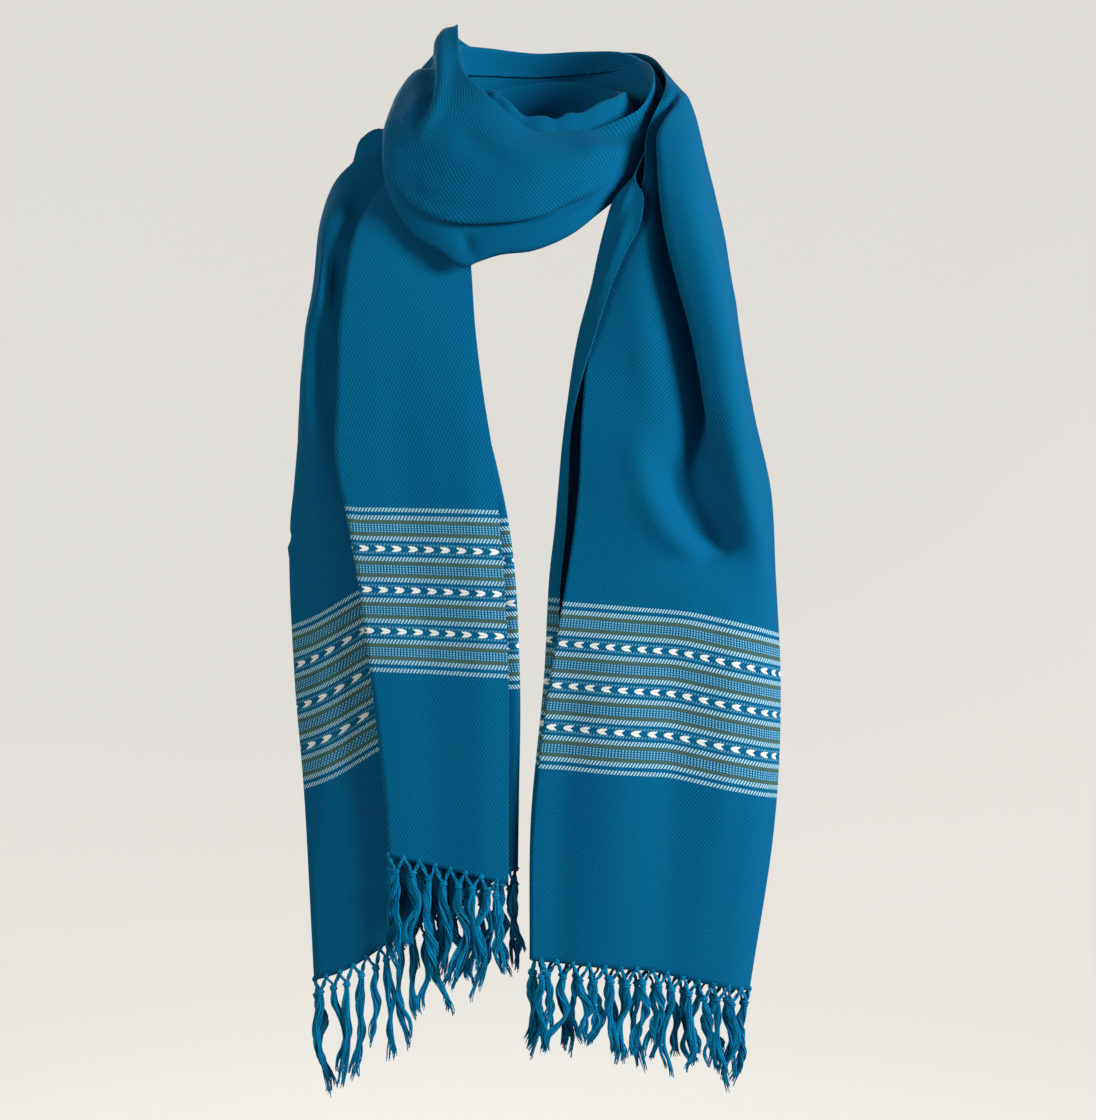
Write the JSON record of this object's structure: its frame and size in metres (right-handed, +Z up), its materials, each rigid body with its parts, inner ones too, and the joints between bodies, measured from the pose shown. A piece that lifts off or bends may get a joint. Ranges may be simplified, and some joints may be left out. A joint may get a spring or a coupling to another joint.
{
  "type": "stole",
  "caption": "Woven stole, worn: one long fringed cloth wound once round the neck, both folded ends hanging in front",
  "frame": {"origin": "middle of the neck opening, at the height where the loop crosses the throat", "axes": "+Z up along the wearer's neck, +Y to the wearer's back, -Y to the front where both ends hang, +X to the wearer's left (the viewer's right)"},
  "size_m": [0.3944, 0.2382, 0.8786],
  "materials": {
    "twill_cloth": "matt woven wool twill, teal blue, with light woven border stripes",
    "fringe_yarn": "loosely twisted wool yarn, teal blue"
  },
  "bodies": {
    "root": {"left_tail": "twill_cloth", "nape_inner": "twill_cloth", "neck_loop": "twill_cloth", "nape_outer": "twill_cloth", "right_tail": "twill_cloth", "fringe_left": "fringe_yarn", "fringe_right": "fringe_yarn"}
  },
  "joints": []
}
